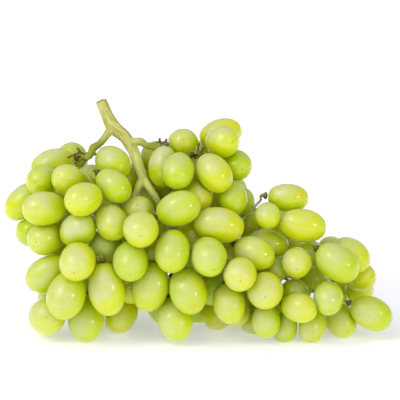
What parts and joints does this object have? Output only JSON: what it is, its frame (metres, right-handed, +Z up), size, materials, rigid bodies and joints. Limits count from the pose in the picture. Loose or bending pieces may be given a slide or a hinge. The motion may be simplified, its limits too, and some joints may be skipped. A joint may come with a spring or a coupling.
{
  "type": "bunch of grapes",
  "caption": "Bunch of large oval white table grapes on a green forked stem with bare stalk ends, lying on its side.",
  "frame": {"origin": "middle of the footprint of the bunch's box, on the surface it lies on", "axes": "+X from the shoulders to the tip of the bunch, +Z up, the seen side faces -Y"},
  "size_m": [0.2143, 0.1177, 0.1253],
  "materials": {
    "berries": "satin",
    "stem": "matte"
  },
  "bodies": {
    "root": {"berries_wing_top": "berries", "berries_wing_side": "berries", "berries_wing_front": "berries", "berries_wing_foot": "berries", "berries_neck": "berries", "berries_breast": "berries", "berries_belly_left": "berries", "berries_shoulder": "berries", "berries_shoulder_tip": "berries", "berries_back_fold": "berries", "berries_middle": "berries", "berries_belly_right": "berries", "berries_waist": "berries", "berries_flank": "berries", "berries_flank_foot": "berries", "berries_tail_top": "berries", "berries_tail": "berries", "stem": "stem"}
  },
  "joints": []
}
